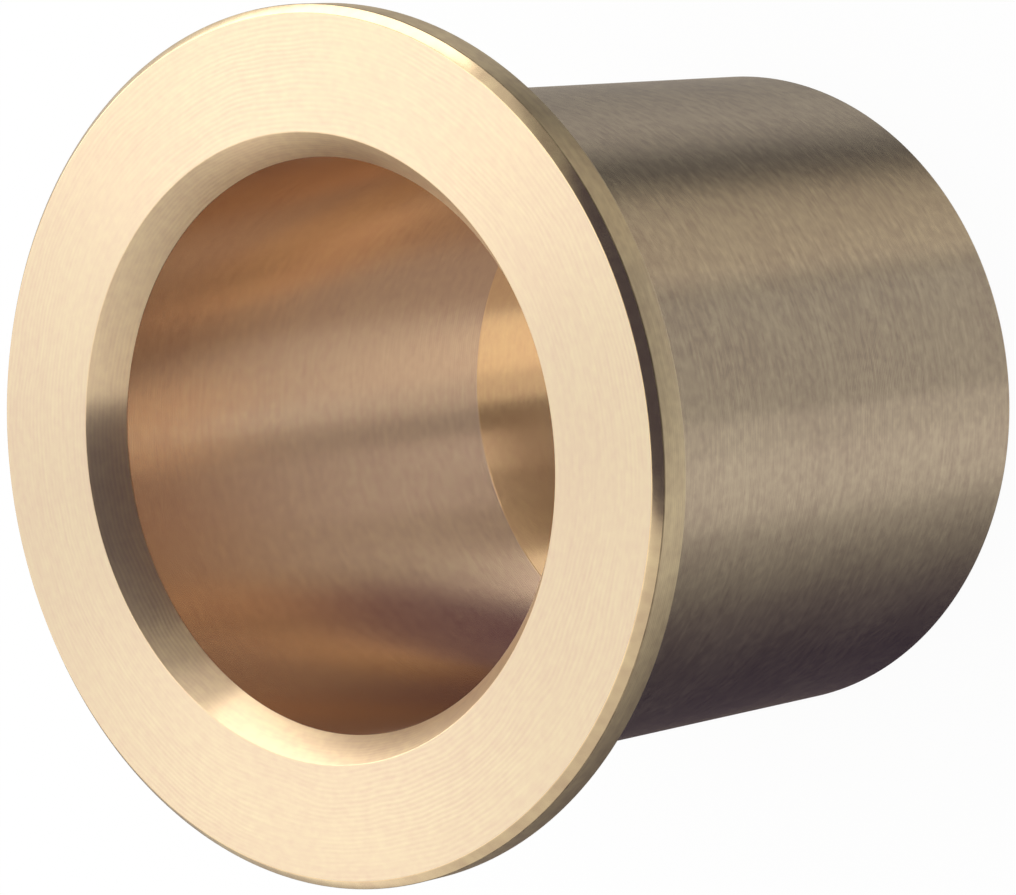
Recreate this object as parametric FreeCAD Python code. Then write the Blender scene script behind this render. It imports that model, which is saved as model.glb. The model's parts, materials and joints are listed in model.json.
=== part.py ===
import FreeCAD, Part
import math
import os

# Flanged bronze bushing, turned in one piece.
# Millimetres. The axis is +Z, the plain end rests on Z = 0 and the flange is at the top.

# Bore and barrel
bore_diameter = 20.0
barrel_wall = 2.0
barrel_length = 23.5

# Flange above the barrel
flange_overhang = 3.25
flange_thickness = 1.5
flange_root_radius = 0.3

# Lead-in cone at the bore's mouth, in the flange's face
mouth_width = 0.9
mouth_depth = 1.2

# Edges: the chamfer round the flange's face, and the small breaks of the other turned edges
face_chamfer = 0.3
rim_break = 0.1
barrel_break = 0.15
bore_break = 0.1

# Sizes that follow
bore_radius = bore_diameter / 2
barrel_radius = bore_radius + barrel_wall
flange_radius = barrel_radius + flange_overhang
seat_height = barrel_length
face_height = barrel_length + flange_thickness

ORIGIN = FreeCAD.Vector(0, 0, 0)
UP = FreeCAD.Vector(0, 0, 1)


def at(radius, height):
    """A point of the turned section, right of the axis."""
    return FreeCAD.Vector(radius, 0, height)


def chain(points):
    """Straight edges from each point to the next."""
    return [Part.LineSegment(a, b).toShape() for a, b in zip(points, points[1:])]


def turned(edges):
    """The solid that a closed section sweeps in one turn about the axis."""
    return Part.Face(Part.Wire(edges)).revolve(ORIGIN, UP, 360)


def root_fillet():
    """The tool's nose radius where the barrel runs into the flange's underside."""
    radius = flange_root_radius
    slant = radius * (1 - math.sqrt(0.5))
    foot = at(barrel_radius, seat_height - radius)
    middle = at(barrel_radius + slant, seat_height - slant)
    head = at(barrel_radius + radius, seat_height)
    return Part.Arc(foot, middle, head).toShape()


def turned_blank():
    """The outside: barrel, root radius, flange and the edges of both, still without its bore."""
    barrel_side = chain([
        at(0, face_height),
        at(0, 0),
        at(barrel_radius - barrel_break, 0),
        at(barrel_radius, barrel_break),
        at(barrel_radius, seat_height - flange_root_radius),
    ])
    flange_side = chain([
        at(barrel_radius + flange_root_radius, seat_height),
        at(flange_radius - rim_break, seat_height),
        at(flange_radius, seat_height + rim_break),
        at(flange_radius, face_height - face_chamfer),
        at(flange_radius - face_chamfer, face_height),
        at(0, face_height),
    ])
    return turned(barrel_side + [root_fillet()] + flange_side)


def boring_cut():
    """What the boring tool takes out: the plain bore, its broken lower edge and the lead-in cone."""
    return turned(chain([
        at(0, 0),
        at(bore_radius + bore_break, 0),
        at(bore_radius, bore_break),
        at(bore_radius, face_height - mouth_depth),
        at(bore_radius + mouth_width, face_height),
        at(0, face_height),
        at(0, 0),
    ]))


def bushing():
    return turned_blank().cut(boring_cut())


os.makedirs("parts", exist_ok=True)
bushing().exportStep("parts/bushing.step")
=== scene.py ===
import json
import math
from collections import namedtuple

import bpy
from bpy.props import FloatProperty, FloatVectorProperty, IntProperty, PointerProperty
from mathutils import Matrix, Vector


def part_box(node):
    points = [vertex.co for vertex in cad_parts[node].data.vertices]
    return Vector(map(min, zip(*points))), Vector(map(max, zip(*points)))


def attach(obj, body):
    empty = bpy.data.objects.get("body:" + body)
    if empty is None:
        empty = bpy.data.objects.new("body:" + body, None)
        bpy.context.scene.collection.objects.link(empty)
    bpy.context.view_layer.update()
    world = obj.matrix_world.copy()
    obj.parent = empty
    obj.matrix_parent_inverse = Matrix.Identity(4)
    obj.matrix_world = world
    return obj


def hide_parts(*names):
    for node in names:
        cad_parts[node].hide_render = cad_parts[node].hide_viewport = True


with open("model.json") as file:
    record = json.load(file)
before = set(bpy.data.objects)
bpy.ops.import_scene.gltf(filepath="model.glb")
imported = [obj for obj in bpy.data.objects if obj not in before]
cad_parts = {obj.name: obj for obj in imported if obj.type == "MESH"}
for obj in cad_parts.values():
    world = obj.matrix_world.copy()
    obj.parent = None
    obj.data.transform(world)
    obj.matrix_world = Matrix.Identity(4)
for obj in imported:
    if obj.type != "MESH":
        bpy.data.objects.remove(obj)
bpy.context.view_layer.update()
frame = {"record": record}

bl_info = {
    "name": "Shifter bushing",
    "version": (1, 0, 0),
    "blender": (4, 5, 0),
    "location": "3D View > Sidebar > Bushing",
    "description": "A flanged bronze bushing with turned, faced and bored finishes, and its studio",
    "category": "Object",
}

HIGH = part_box("bushing")[1]
MOUNTS = {mount["name"]: mount for mount in frame["record"]["mounts"]}
MM = 0.001
MICRON = 0.001 * MM


# Sizes and colours that a user would change

def length(name, description, default):
    """A size in metres, with six digits behind the point because the part is small."""
    return FloatProperty(
        name=name, description=description, default=default, min=0.0, unit="LENGTH", precision=6
    )


def colour(name, description, default):
    return FloatVectorProperty(
        name=name, description=description, default=default, min=0.0, max=1.0, size=3, subtype="COLOR"
    )


def share(name, description, default):
    return FloatProperty(name=name, description=description, default=default, min=0.0, max=1.0)


def angle(name, description, default):
    return FloatProperty(name=name, description=description, default=math.radians(default), subtype="ANGLE")


class BushingSizes(bpy.types.PropertyGroup):
    """The turned section. What the frame gives comes from it, and the small edges repeat the drawing's."""
    bore_radius: length("Bore radius", "Radius of the through bore", MOUNTS["bore"]["dims"]["r_mm"] * MM)
    barrel_radius: length("Barrel radius", "Outside radius of the barrel",
                          MOUNTS["barrel"]["dims"]["r_mm"] * MM)
    flange_radius: length("Flange radius", "Outside radius of the flange", HIGH.x)
    seat_height: length("Seat height", "Height of the flange's underside",
                        MOUNTS["flange_seat"]["pos_m"][2])
    face_height: length("Face height", "Height of the flange's face", HIGH.z)
    root_radius: length("Root radius", "Tool's nose radius under the flange", 0.3 * MM)
    mouth_width: length("Mouth width", "How far the lead-in cone widens the bore", 0.9 * MM)
    mouth_depth: length("Mouth depth", "Depth of the lead-in cone", 1.2 * MM)
    face_chamfer: length("Face chamfer", "Chamfer round the flange's face", 0.3 * MM)
    rim_break: length("Rim break", "Broken edge at the back of the rim", 0.1 * MM)
    barrel_break: length("Barrel break", "Broken outer edge of the plain end", 0.15 * MM)
    bore_break: length("Bore break", "Broken inner edge of the plain end", 0.1 * MM)
    edge_radius: length("Edge radius", "Fine rounding left on every turned edge", 0.03 * MM)
    fine_length: length("Fine length", "How far up the bore the finer cut reaches", 4.5 * MM)
    witness_width: length("Witness width", "Width of the line where the bore's two cuts meet", 0.12 * MM)
    witness_depth: length("Witness depth", "Depth of that line", 0.004 * MM)
    segments: IntProperty(name="Segments", description="Faces round the axis", default=256, min=32)


class BushingColours(bpy.types.PropertyGroup):
    """The metal's colour on each surface, which the cut and the handling change. The barrel's is also
    darker than the bronze's own, which is painted shade.
    """
    faced: colour("Faced", "Bright face of the flange", (0.84, 0.67, 0.465))
    mouth: colour("Mouth", "Lead-in cone", (0.88, 0.66, 0.42))
    chamfer: colour("Chamfer", "Chamfer round the face", (0.88, 0.66, 0.40))
    # A darker, duller colour on the small rounded edge between the chamfer and the rim
    tarnish: colour("Tarnish", "Tarnished edge between the chamfer and the rim", (0.42, 0.31, 0.19))
    # Painted shade: the barrel's colour is darker than the bronze's own, standing in for the dim
    # surroundings that it mirrors
    turned: colour("Turned", "Barrel", (0.52, 0.41, 0.29))
    rim: colour("Rim", "Rim of the flange", (0.65, 0.51, 0.32))
    bored: colour("Bored", "Bore", (0.70, 0.52, 0.385))
    fine: colour("Fine", "Finely cut end of the bore", (0.845, 0.59, 0.35))
    parted: colour("Parted", "Plain end and the flange's underside", (0.62, 0.48, 0.33))


class StageSizes(bpy.types.PropertyGroup):
    """The studio: camera, floor, cards and lamps."""
    lens: FloatProperty(
        name="Lens", description="Focal length in millimetres", default=164.54, min=1.0, unit="CAMERA"
    )
    camera_place: FloatVectorProperty(
        name="Camera place", description="Where the camera stands", size=3, subtype="TRANSLATION",
        default=(-0.869 * MM, -108.847 * MM, 141.437 * MM), precision=6,
    )
    camera_tilt: angle("Camera tilt", "Angle from looking straight down", 40.649)
    camera_roll: angle("Camera roll", "Turn about the line of sight, which lays the part down", -98.15)
    floor_size: length("Floor size", "Side of the floor", 8.0)
    floor_colour: colour("Floor colour", "Pale floor", (0.92, 0.92, 0.92))
    floor_glow: share("Floor glow", "How much of the floor is plain white to the camera", 0.94)


# Nodes

class Reading:
    """A value that varies over a surface. Python's operators on it add Math nodes."""

    def __init__(self, tree, socket):
        self.tree = tree
        self.socket = socket

    def math(self, operation, *others):
        return self.tree.math(operation, self, *others)

    def __add__(self, other):
        return self.math("ADD", other)

    def __radd__(self, other):
        return self.tree.math("ADD", other, self)

    def __sub__(self, other):
        return self.math("SUBTRACT", other)

    def __rsub__(self, other):
        return self.tree.math("SUBTRACT", other, self)

    def __mul__(self, other):
        return self.math("MULTIPLY", other)

    def __rmul__(self, other):
        return self.tree.math("MULTIPLY", other, self)

    def __truediv__(self, other):
        return self.math("DIVIDE", other)

    def __rtruediv__(self, other):
        return self.tree.math("DIVIDE", other, self)

    def __pow__(self, other):
        return self.math("POWER", other)

    def __rpow__(self, other):
        return self.tree.math("POWER", other, self)


class Tree:
    """The nodes of one material or of the world."""

    def __init__(self, owner):
        owner.use_nodes = True
        self.nodes = owner.node_tree.nodes
        self.links = owner.node_tree.links
        self.nodes.clear()

    def add(self, kind, settings=None, inputs=None, output=0):
        """Adds a node, sets it up, then fills or links its sockets, and gives one output if it has any."""
        node = self.nodes.new("ShaderNode" + kind)
        for name, value in (settings or {}).items():
            setattr(node, name, value)
        for name, value in (inputs or {}).items():
            if isinstance(value, Reading):
                self.links.new(value.socket, node.inputs[name])
            else:
                node.inputs[name].default_value = value
        return Reading(self, node.outputs[output]) if node.outputs else None

    def math(self, operation, *values):
        return self.add("Math", {"operation": operation}, dict(enumerate(values)))

    def place(self):
        """Where a point lies on the object: its x, y and z."""
        vector = self.add("TexCoord", output="Object")
        split = self.add("SeparateXYZ", inputs={"Vector": vector})
        return [Reading(self, socket) for socket in split.socket.node.outputs]


def rgba(values):
    return (*values, 1.0)


class Marks:
    """Patterns that follow the lathe: they run round the axis and change from one turn to the next."""

    def __init__(self, tree, per_radius, per_height):
        self.tree = tree
        x, y, z = tree.place()
        radius = (x * x + y * y) ** 0.5
        self.x = x / MM
        self.y = y / MM
        self.across = (radius * per_radius + z * per_height) / MM

    def noise(self, width, run, detail=2.0, roughness=0.5):
        """Noise in marks of a width across the feed and a run round the axis, in millimetres."""
        vector = self.tree.add("CombineXYZ", inputs={
            "X": self.x / run, "Y": self.y / run, "Z": self.across / width,
        })
        return self.tree.add("TexNoise", inputs={
            "Vector": vector, "Scale": 1.0, "Detail": detail, "Roughness": roughness,
        })

    def feed(self, pitch, drift):
        """The regular groove of the feed, from 0 to 1. It drifts by a number of grooves."""
        turns = self.across / pitch + drift
        return (turns * math.tau).math("SINE") * 0.5 + 0.5


# How each surface was cut: direction of the feed, sheen, the feed's pitch in millimetres, the marks'
# heights in microns and how much the tone varies
Cut = namedtuple("Cut", "per_radius per_height roughness stretch pitch groove streak grain tone")
CUTS = {
    "faced": Cut(1.0, 0.0, 0.33, 0.85, 0.17, 2.0, 1.5, 0.3, 0.04),
    "mouth": Cut(0.6, 0.8, 0.29, 0.95, 0.14, 1.5, 1.5, 0.3, 0.08),
    "chamfer": Cut(0.7, 0.7, 0.22, 0.70, 0.11, 0.8, 0.8, 0.3, 0.10),
    "tarnish": Cut(0.7, 0.7, 0.42, 0.30, 0.11, 0.8, 0.8, 1.0, 0.45),
    "turned": Cut(0.0, 1.0, 0.25, 0.88, 0.10, 1.0, 1.6, 0.5, 0.18),
    "rim": Cut(0.0, 1.0, 0.35, 0.84, 0.10, 1.5, 1.8, 0.5, 0.16),
    "bored": Cut(0.0, 1.0, 0.25, 0.78, 0.12, 0.6, 0.8, 0.0, 0.07),
    "fine": Cut(0.0, 1.0, 0.18, 0.50, 0.08, 0.3, 0.5, 0.0, 0.05),
    "parted": Cut(1.0, 0.0, 0.34, 0.70, 0.14, 1.5, 1.5, 0.8, 0.14),
}
QUARTER_TURN = 0.25

# A slow noise shifts the grooves, by GROOVE_DRIFT of them at most. Another sets their depth, which is
# nothing where it is at WORN_AWAY and rises from there.
GROOVE_DRIFT = 5.0
WORN_AWAY = 0.30
DEPTH_RISE = 2.5

# How much of each pattern the metal's tone takes
GROOVE_TONE = 0.5
STREAK_TONE = 0.7
MOTTLE_TONE = 1.2
BAND_TONE = 0.5
PATCH_TONE = 0.7
CONTRAST = 0.9

# How much the roughness varies. With wider changes the bore renders with specks, most likely because
# the noise filter's guides switch over near a roughness of 0.27.
PATCH_SHEEN = 0.03
MOTTLE_SHEEN = 0.02

# Green and blue of the dull marks, and green of the bright ones, as shares of the base colour's
DULL_GREEN = 0.96
DULL_BLUE = 0.99
BRIGHT_GREEN = 1.03


def bronze(name, base, cut):
    """Bronze as one cut left it: grooves of the feed, streaks round the axis, grain and dull patches."""
    material = bpy.data.materials.new("bronze_" + name)
    tree = Tree(material)
    marks = Marks(tree, cut.per_radius, cut.per_height)
    drift = marks.noise(width=6.0, run=5.0) * GROOVE_DRIFT
    depth = (marks.noise(width=5.0, run=6.0) - WORN_AWAY) * DEPTH_RISE
    groove = (marks.feed(cut.pitch, drift) - 0.5) * depth
    streak = marks.noise(width=0.12, run=2.0, detail=1.0)
    band = marks.noise(width=0.9, run=30.0)
    grain = marks.noise(width=0.12, run=0.15, detail=0.0)
    mottle = marks.noise(width=0.30, run=0.40, detail=1.0)
    patch = marks.noise(width=4.0, run=4.0)
    tone = (groove * GROOVE_TONE + (streak - 0.5) * STREAK_TONE + (mottle - 0.5) * MOTTLE_TONE
            + (band - 0.5) * BAND_TONE + (patch - 0.5) * PATCH_TONE)
    red, green, blue = base
    dull = (red, green * DULL_GREEN, blue * DULL_BLUE)
    bright = (red, green * BRIGHT_GREEN, blue)
    shade = tree.add("Mix", {"data_type": "RGBA"}, {
        "Factor": tone * CONTRAST + 0.5,
        "A": rgba(value * (1 - cut.tone) for value in dull),
        "B": rgba(min(1.0, value * (1 + cut.tone)) for value in bright),
    }, output=2)
    height = groove * cut.groove + streak * cut.streak + grain * cut.grain
    relief = tree.add("Bump", None, {"Height": height, "Distance": MICRON, "Strength": 1.0})
    surface = tree.add("BsdfPrincipled", None, {
        "Base Color": shade,
        "Metallic": 1.0,
        "Roughness": (patch - 0.5) * PATCH_SHEEN + (mottle - 0.5) * MOTTLE_SHEEN + cut.roughness,
        "Anisotropic": cut.stretch,
        "Anisotropic Rotation": QUARTER_TURN,
        "Normal": relief,
    })
    tree.add("OutputMaterial", inputs={"Surface": surface})
    return material


# The turned section, and the mesh that follows it

def root_arc(sizes, steps=6):
    """Points of the quarter circle under the flange, from the barrel to the seat."""
    radius = sizes.root_radius
    centre_radius = sizes.barrel_radius + radius
    centre_height = sizes.seat_height - radius
    turns = [math.pi / 2 * step / steps for step in range(steps + 1)]
    return [(centre_radius - radius * math.cos(turn), centre_height + radius * math.sin(turn))
            for turn in turns]


def witness_line(sizes, steps=6):
    """Points of the shallow line round the bore, from its upper lip to its lower one."""
    half = sizes.witness_width / 2
    points = []
    for step in range(steps + 1):
        side = 1 - 2 * step / steps
        depth = sizes.witness_depth * (1 - side * side)
        points.append((sizes.bore_radius + depth, sizes.fine_length + side * half))
    return points


def corners(sizes):
    """The section's corners, in order round it: the outside going up, then the bore going down."""
    outside = [
        (sizes.bore_radius + sizes.bore_break, 0.0),
        (sizes.barrel_radius - sizes.barrel_break, 0.0),
        (sizes.barrel_radius, sizes.barrel_break),
    ]
    flange = [
        (sizes.flange_radius - sizes.rim_break, sizes.seat_height),
        (sizes.flange_radius, sizes.seat_height + sizes.rim_break),
        (sizes.flange_radius, sizes.face_height - sizes.face_chamfer),
        (sizes.flange_radius - sizes.face_chamfer, sizes.face_height),
        (sizes.bore_radius + sizes.mouth_width, sizes.face_height),
        (sizes.bore_radius, sizes.face_height - sizes.mouth_depth),
    ]
    inside = [(sizes.bore_radius, sizes.bore_break)]
    return outside, flange, inside


def extrude_to(radius, height, old_radius, old_height):
    """Draws the open ring on to its next radius and height."""
    bpy.ops.mesh.extrude_edges_move(TRANSFORM_OT_translate={"value": (0, 0, height - old_height)})
    growth = radius / old_radius
    bpy.ops.transform.resize(value=(growth, growth, 1), center_override=(0, 0, 0))


def select_rings(piece, rings, slack=0.002 * MM):
    """Selects the edges that run round the axis at the given radii and heights."""
    bpy.ops.object.mode_set(mode="OBJECT")
    points = piece.data.vertices
    for edge in piece.data.edges:
        ends = [points[index].co for index in edge.vertices]
        level = abs(ends[0].z - ends[1].z) < slack
        edge.select = level and any(
            all(abs(end.xy.length - radius) < slack and abs(end.z - height) < slack for end in ends)
            for radius, height in rings
        )
    bpy.ops.object.mode_set(mode="EDIT")


def turn_section(sizes):
    """The bushing's mesh: a ring drawn round the section and closed on itself, with its edges rounded."""
    outside, flange, inside = corners(sizes)
    section = outside + root_arc(sizes) + flange + witness_line(sizes) + inside
    bpy.ops.object.select_all(action="DESELECT")
    start_radius, start_height = section[0]
    bpy.ops.mesh.primitive_circle_add(vertices=sizes.segments, radius=start_radius, fill_type="NOTHING")
    piece = bpy.context.object
    piece.name = "turned_bushing"
    piece.data.name = "turned_bushing"
    bpy.ops.object.mode_set(mode="EDIT")
    bpy.ops.mesh.select_mode(type="EDGE")
    bpy.ops.mesh.select_all(action="SELECT")
    old_radius, old_height = start_radius, start_height
    for radius, height in section[1:] + section[:1]:
        extrude_to(radius, height, old_radius, old_height)
        old_radius, old_height = radius, height
    bpy.ops.mesh.select_all(action="SELECT")
    bpy.ops.mesh.remove_doubles(threshold=MICRON)
    bpy.ops.mesh.normals_make_consistent(inside=False)
    bpy.ops.mesh.select_all(action="DESELECT")
    select_rings(piece, outside + flange + inside)
    bpy.ops.mesh.bevel(offset=sizes.edge_radius, segments=3, profile=0.5, affect="EDGES")
    bpy.ops.object.mode_set(mode="OBJECT")
    return piece


# A face points up when its normal's z is above the first of these, and down when it is below the second
FACES_UP = 0.99
FACES_DOWN = -0.9


def cut_at(sizes, radius, height, normal):
    """Which cut made the surface at this radius and height."""
    slack = sizes.edge_radius
    if height > sizes.face_height - slack / 2 and normal.z > FACES_UP:
        return "faced"
    if radius < sizes.bore_radius + slack and height < sizes.fine_length:
        return "fine" if height > sizes.bore_break else "parted"
    if radius < sizes.bore_radius + slack and height < sizes.face_height - sizes.mouth_depth:
        return "bored"
    in_mouth = radius < sizes.bore_radius + sizes.mouth_width + slack
    if in_mouth and height > sizes.face_height - sizes.mouth_depth:
        return "mouth"
    if height > sizes.face_height - sizes.face_chamfer + slack / 2:
        return "chamfer"
    if height > sizes.face_height - sizes.face_chamfer - slack:
        return "tarnish"
    if normal.z < FACES_DOWN:
        return "parted"
    return "rim" if height > sizes.seat_height else "turned"


def finish_surfaces(piece, sizes, colours):
    """Gives each stretch of the section the bronze that its cut left."""
    names = list(CUTS)
    for name in names:
        piece.data.materials.append(bronze(name, getattr(colours, name), CUTS[name]))
    for face in piece.data.polygons:
        centre = face.center
        face.material_index = names.index(cut_at(sizes, centre.xy.length, centre.z, face.normal))


def smooth(piece):
    """Smooth shading that keeps the long faces true, so that only the rounded edges turn the light."""
    bpy.ops.object.select_all(action="DESELECT")
    piece.select_set(True)
    bpy.context.view_layer.objects.active = piece
    bpy.ops.object.shade_smooth()
    weigh = piece.modifiers.new("long_faces_true", "WEIGHTED_NORMAL")
    weigh.mode = "FACE_AREA"
    weigh.weight = 100
    bpy.ops.object.modifier_apply(modifier=weigh.name)


class BUSHING_OT_turn(bpy.types.Operator):
    """Turn the bushing and finish its surfaces"""
    bl_idname = "bushing.turn"
    bl_label = "Turn the bushing"

    def execute(self, context):
        sizes = context.scene.bushing_sizes
        piece = turn_section(sizes)
        finish_surfaces(piece, sizes, context.scene.bushing_colours)
        smooth(piece)
        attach(piece, "root")
        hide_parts("bushing")
        return {"FINISHED"}


# Studio

WHITE = (1, 1, 1)

# Camera: width of its film in millimetres, and the nearest and farthest it sees, in metres
SENSOR_WIDTH = 36.0
NEAREST = 0.01
FARTHEST = 20.0


def grey(tone):
    return (tone, tone, tone)


# A card stands between two azimuths and two elevations, in degrees, at a distance from the axis in
# millimetres. It has a colour, and fades out over some degrees at its two ends. A nearer card lies over
# a farther one. A card all round would have CARD_SIDES faces.
Card = namedtuple("Card", "name start end low high distance tone fade", defaults=(0,))
CARD_SIDES = 360
CARDS = [
    Card("camera_side", -55, 27, 10, 78, 400, (0.06, 0.055, 0.085)),
    Card("camera_edge", -72, -55, 10, 68, 400, grey(0.25)),
    Card("camera_rim", -86, -72, 10, 68, 400, grey(0.60)),
    Card("front", -90, 30, -28, 10, 404, grey(0.20), 34),
    Card("side", -30, 136, -28, 46, 410, grey(0.62), 24),
    Card("back", -204, -40, -28, -4, 410, grey(0.55), 24),
    Card("far_side", 100, 204, -28, -4, 420, grey(0.42), 24),
    Card("low_bright", 22, 46, -78, -28, 400, grey(0.86)),
    Card("low_edge", 46, 58, -78, -28, 400, grey(0.50)),
    Card("low_turn", 58, 72, -78, -28, 400, grey(0.30)),
    Card("low_fade", 72, 92, -78, -28, 400, (0.11, 0.10, 0.13)),
    Card("low_side", 92, 180, -78, -28, 400, (0.02, 0.012, 0.05)),
    Card("low_front", -38, 10, -57, -43, 400, grey(0.16)),
    Card("low_near", 10, 22, -60, -40, 400, grey(0.66)),
    Card("low_corner", -73, -38, -64, -36, 400, (0.70, 0.66, 0.58)),
    Card("low_gap", -91, -73, -78, -28, 400, grey(0.0)),
    Card("low_rear", -118, -91, -78, -28, 400, grey(0.50)),
    Card("low_back", -178, -118, -78, -28, 400, grey(0.30)),
    Card("bore_core", 28, 70, -55, -5, 12, (0.75, 0.66, 0.55)),
    Card("bore_head", 14, 28, -38, -5, 12, (0.95, 0.92, 0.81)),
    Card("bore_side", 70, 118, -69, -5, 12, (0.46, 0.37, 0.30)),
    Card("bore_warm", 118, 180, -69, -5, 12, (0.38, 0.25, 0.16)),
    Card("bore_lip", 98, 150, -26, -5, 11.6, (0.80, 0.50, 0.28)),
    Card("bore_front", -70, 14, -50, -5, 12, (0.49, 0.44, 0.38)),
    Card("bore_turn", -84, -70, -50, -5, 12, (0.33, 0.29, 0.24)),
    Card("bore_under", 14, 28, -50, -38, 12, (0.53, 0.46, 0.39)),
    Card("bore_near", -84, -46, -58, -50, 12, (0.44, 0.38, 0.32)),
    Card("streak_high", -46, -25, -55, -50.5, 12, (1.55, 1.41, 1.31)),
    Card("streak_low", -25, -3, -58.5, -53.5, 12, (1.55, 1.41, 1.31)),
    Card("bore_shade", -178, -84, -50, -5, 12, (0.165, 0.106, 0.125)),
    Card("bore_far", -178, -106, -67, -54, 12, (1.88, 1.78, 1.58)),
    Card("bore_dim", -106, -84, -67, -54, 12, (1.00, 0.95, 0.85)),
    Card("bore_end", 32, 68, -70, -56, 12, (0.95, 0.82, 0.66)),
    Card("end_shade", -84, 10, -70, -59, 12, (0.17, 0.12, 0.09)),
    Card("gap_front", -46, 14, -65, -50, 12.4, (0.155, 0.136, 0.114)),
    Card("gap_near", 14, 41, -70, -50, 12.4, (0.64, 0.56, 0.47)),
    Card("gap_side", -120, -84, -56, -50, 12.4, (0.17, 0.13, 0.10)),
]


def azimuth_of(point):
    """Degrees from the camera's side of the axis, -Y, towards -X."""
    return math.degrees(math.atan2(-point.x, -point.y))


def fade_ends(tree, card, glow):
    """The card's glow, which turns clear towards the card's two ends."""
    x, y, _ = tree.place()
    azimuth = (x * -1).math("ARCTAN2", y * -1) * math.degrees(1)
    inside = (azimuth - card.start).math("MINIMUM", card.end - azimuth)
    shown = tree.add("MapRange", {"interpolation_type": "SMOOTHSTEP"}, {
        "Value": inside, "From Min": 0.0, "From Max": card.fade,
    })
    clear = tree.add("BsdfTransparent")
    return tree.add("MixShader", None, {0: shown, 1: clear, 2: glow})


def card_material(card):
    """Gives off the card's one colour, and isn't sampled as a lamp."""
    material = bpy.data.materials.new("card_" + card.name)
    tree = Tree(material)
    glow = tree.add("Emission", None, {"Color": rgba(card.tone), "Strength": 1.0})
    if card.fade:
        glow = fade_ends(tree, card, glow)
    tree.add("OutputMaterial", inputs={"Surface": glow})
    material.cycles.emission_sampling = "NONE"
    return material


def cut_strip(card, low, high):
    """The card as a strip of a cone about the axis, from one radius and height to another.

    Only the metal mirrors it: the camera, the floor and the shadows don't meet it.
    """
    (low_radius, low_height), (high_radius, high_height) = low, high
    bpy.ops.object.select_all(action="DESELECT")
    bpy.ops.mesh.primitive_cone_add(
        vertices=CARD_SIDES, radius1=low_radius, radius2=high_radius, depth=high_height - low_height,
        end_fill_type="NOTHING", location=(0, 0, (low_height + high_height) / 2),
    )
    bpy.ops.object.transform_apply(location=True)
    piece = bpy.context.object
    piece.name = "card_" + card.name
    bpy.ops.object.mode_set(mode="EDIT")
    bpy.ops.mesh.select_mode(type="FACE")
    bpy.ops.mesh.select_all(action="DESELECT")
    bpy.ops.object.mode_set(mode="OBJECT")
    for face in piece.data.polygons:
        face.select = not card.start <= azimuth_of(face.center) <= card.end
    bpy.ops.object.mode_set(mode="EDIT")
    bpy.ops.mesh.delete(type="FACE")
    bpy.ops.object.mode_set(mode="OBJECT")
    piece.data.materials.append(card_material(card))
    piece.visible_camera = False
    piece.visible_diffuse = False
    piece.visible_shadow = False


def stand_card(card):
    """An upright card round the part."""
    distance = card.distance * MM
    bottom = distance * math.tan(math.radians(card.low))
    top = distance * math.tan(math.radians(card.high))
    cut_strip(card, (distance, bottom), (distance, top))


def lay_floor(stage):
    """A pale floor that is nearly white to the camera and keeps the part's faint shadow.

    The metal doesn't mirror it, but the equally white room and the cards below the floor's level.
    """
    bpy.ops.object.select_all(action="DESELECT")
    bpy.ops.mesh.primitive_plane_add(size=stage.floor_size)
    floor = bpy.context.object
    floor.name = "floor"
    material = bpy.data.materials.new("pale_floor")
    tree = Tree(material)
    matt = tree.add("BsdfDiffuse", None, {"Color": rgba(stage.floor_colour)})
    white = tree.add("Emission", None, {"Color": rgba(WHITE), "Strength": 1.0})
    seen = tree.add("LightPath", output="Is Camera Ray")
    mixed = tree.add("MixShader", None, {0: seen * stage.floor_glow, 1: matt, 2: white})
    tree.add("OutputMaterial", inputs={"Surface": mixed})
    material.cycles.emission_sampling = "NONE"
    floor.data.materials.append(material)
    floor.visible_glossy = False


# A soft box hangs at an azimuth and an elevation in degrees. Its distance, width and height are in
# millimetres, and its radiance is how bright it looks beside the white room's 1.
Lamp = namedtuple("Lamp", "name azimuth elevation width height radiance")
LAMP_DISTANCE = 600
LAMPS = [
    Lamp("side_lamp", -124, 13, 900, 340, 1.35),
    Lamp("face_lamp", -160, 47, 240, 240, 0.60),
    Lamp("top_lamp", -110, 62, 300, 300, 0.60),
]


def hang_lamp(lamp):
    """A soft box that faces the part. Its power follows from its size and radiance."""
    turn = math.radians(lamp.azimuth)
    rise = math.radians(lamp.elevation)
    out = Vector((-math.sin(turn) * math.cos(rise), -math.cos(turn) * math.cos(rise), math.sin(rise)))
    centre = Vector((0, 0, HIGH.z / 2))
    bpy.ops.object.light_add(type="AREA", location=centre + out * LAMP_DISTANCE * MM)
    box = bpy.context.object
    box.name = lamp.name
    box.rotation_euler = out.to_track_quat("Z", "Y").to_euler()
    box.data.shape = "RECTANGLE"
    box.data.size = lamp.width * MM
    box.data.size_y = lamp.height * MM
    box.data.energy = lamp.radiance * math.pi * box.data.size * box.data.size_y
    box.visible_camera = False


def light_room():
    """A white room all round, at the strength at which a colour looks as it is written."""
    world = bpy.data.worlds.new("white_room")
    bpy.context.scene.world = world
    tree = Tree(world)
    glow = tree.add("Background", None, {"Color": rgba(WHITE), "Strength": 1.0})
    tree.add("OutputWorld", inputs={"Surface": glow})


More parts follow.
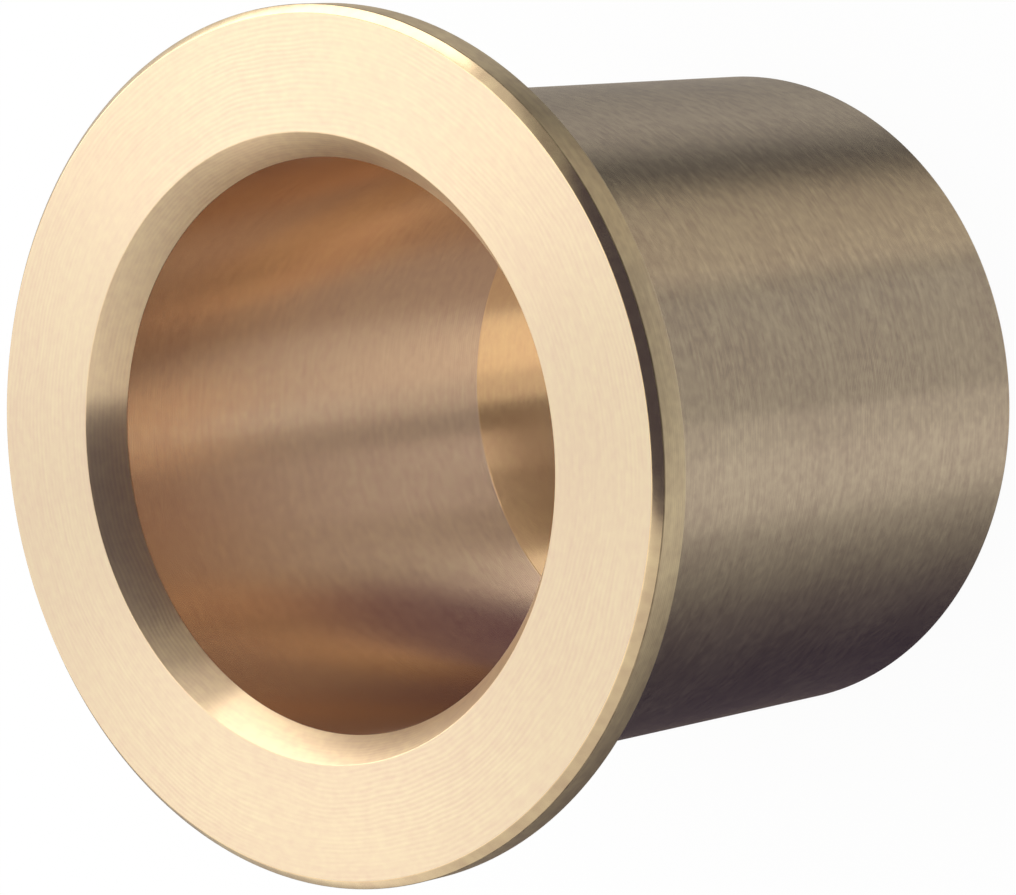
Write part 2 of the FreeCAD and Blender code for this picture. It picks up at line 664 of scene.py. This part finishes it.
def set_camera(stage):
    """The photo's view of the part, from above its mouth."""
    bpy.ops.object.camera_add(location=stage.camera_place)
    camera = bpy.context.object
    camera.name = "camera"
    camera.rotation_mode = "ZYX"
    camera.rotation_euler = (stage.camera_tilt, 0, stage.camera_roll)
    camera.data.lens = stage.lens
    camera.data.sensor_width = SENSOR_WIDTH
    camera.data.clip_start = NEAREST
    camera.data.clip_end = FARTHEST
    bpy.context.scene.camera = camera


class BUSHING_OT_stage(bpy.types.Operator):
    """Set the floor, the cards, the lamps and the camera"""
    bl_idname = "bushing.stage"
    bl_label = "Set the stage"

    def execute(self, context):
        stage = context.scene.bushing_stage
        set_camera(stage)
        lay_floor(stage)
        for card in CARDS:
            stand_card(card)
        light_room()
        for lamp in LAMPS:
            hang_lamp(lamp)
        context.scene.view_settings.view_transform = "Standard"
        return {"FINISHED"}


class VIEW3D_PT_bushing(bpy.types.Panel):
    """The two operators, each above the sizes and colours that it reads"""
    bl_label = "Shifter bushing"
    bl_space_type = "VIEW_3D"
    bl_region_type = "UI"
    bl_category = "Bushing"

    def draw(self, context):
        scene = context.scene
        for operator, groups in (("bushing.turn", (scene.bushing_sizes, scene.bushing_colours)),
                                 ("bushing.stage", (scene.bushing_stage,))):
            box = self.layout.box()
            box.operator(operator)
            for group in groups:
                for name in group.bl_rna.properties.keys():
                    if name not in ("rna_type", "name"):
                        box.prop(group, name)


CLASSES = (BushingSizes, BushingColours, StageSizes, BUSHING_OT_turn, BUSHING_OT_stage, VIEW3D_PT_bushing)


def register():
    for cls in CLASSES:
        bpy.utils.register_class(cls)
    bpy.types.Scene.bushing_sizes = PointerProperty(type=BushingSizes)
    bpy.types.Scene.bushing_colours = PointerProperty(type=BushingColours)
    bpy.types.Scene.bushing_stage = PointerProperty(type=StageSizes)


def unregister():
    del bpy.types.Scene.bushing_stage
    del bpy.types.Scene.bushing_colours
    del bpy.types.Scene.bushing_sizes
    for cls in reversed(CLASSES):
        bpy.utils.unregister_class(cls)


def main():
    register()
    bpy.ops.bushing.turn()
    bpy.ops.bushing.stage()


if __name__ == "__main__":
    main()
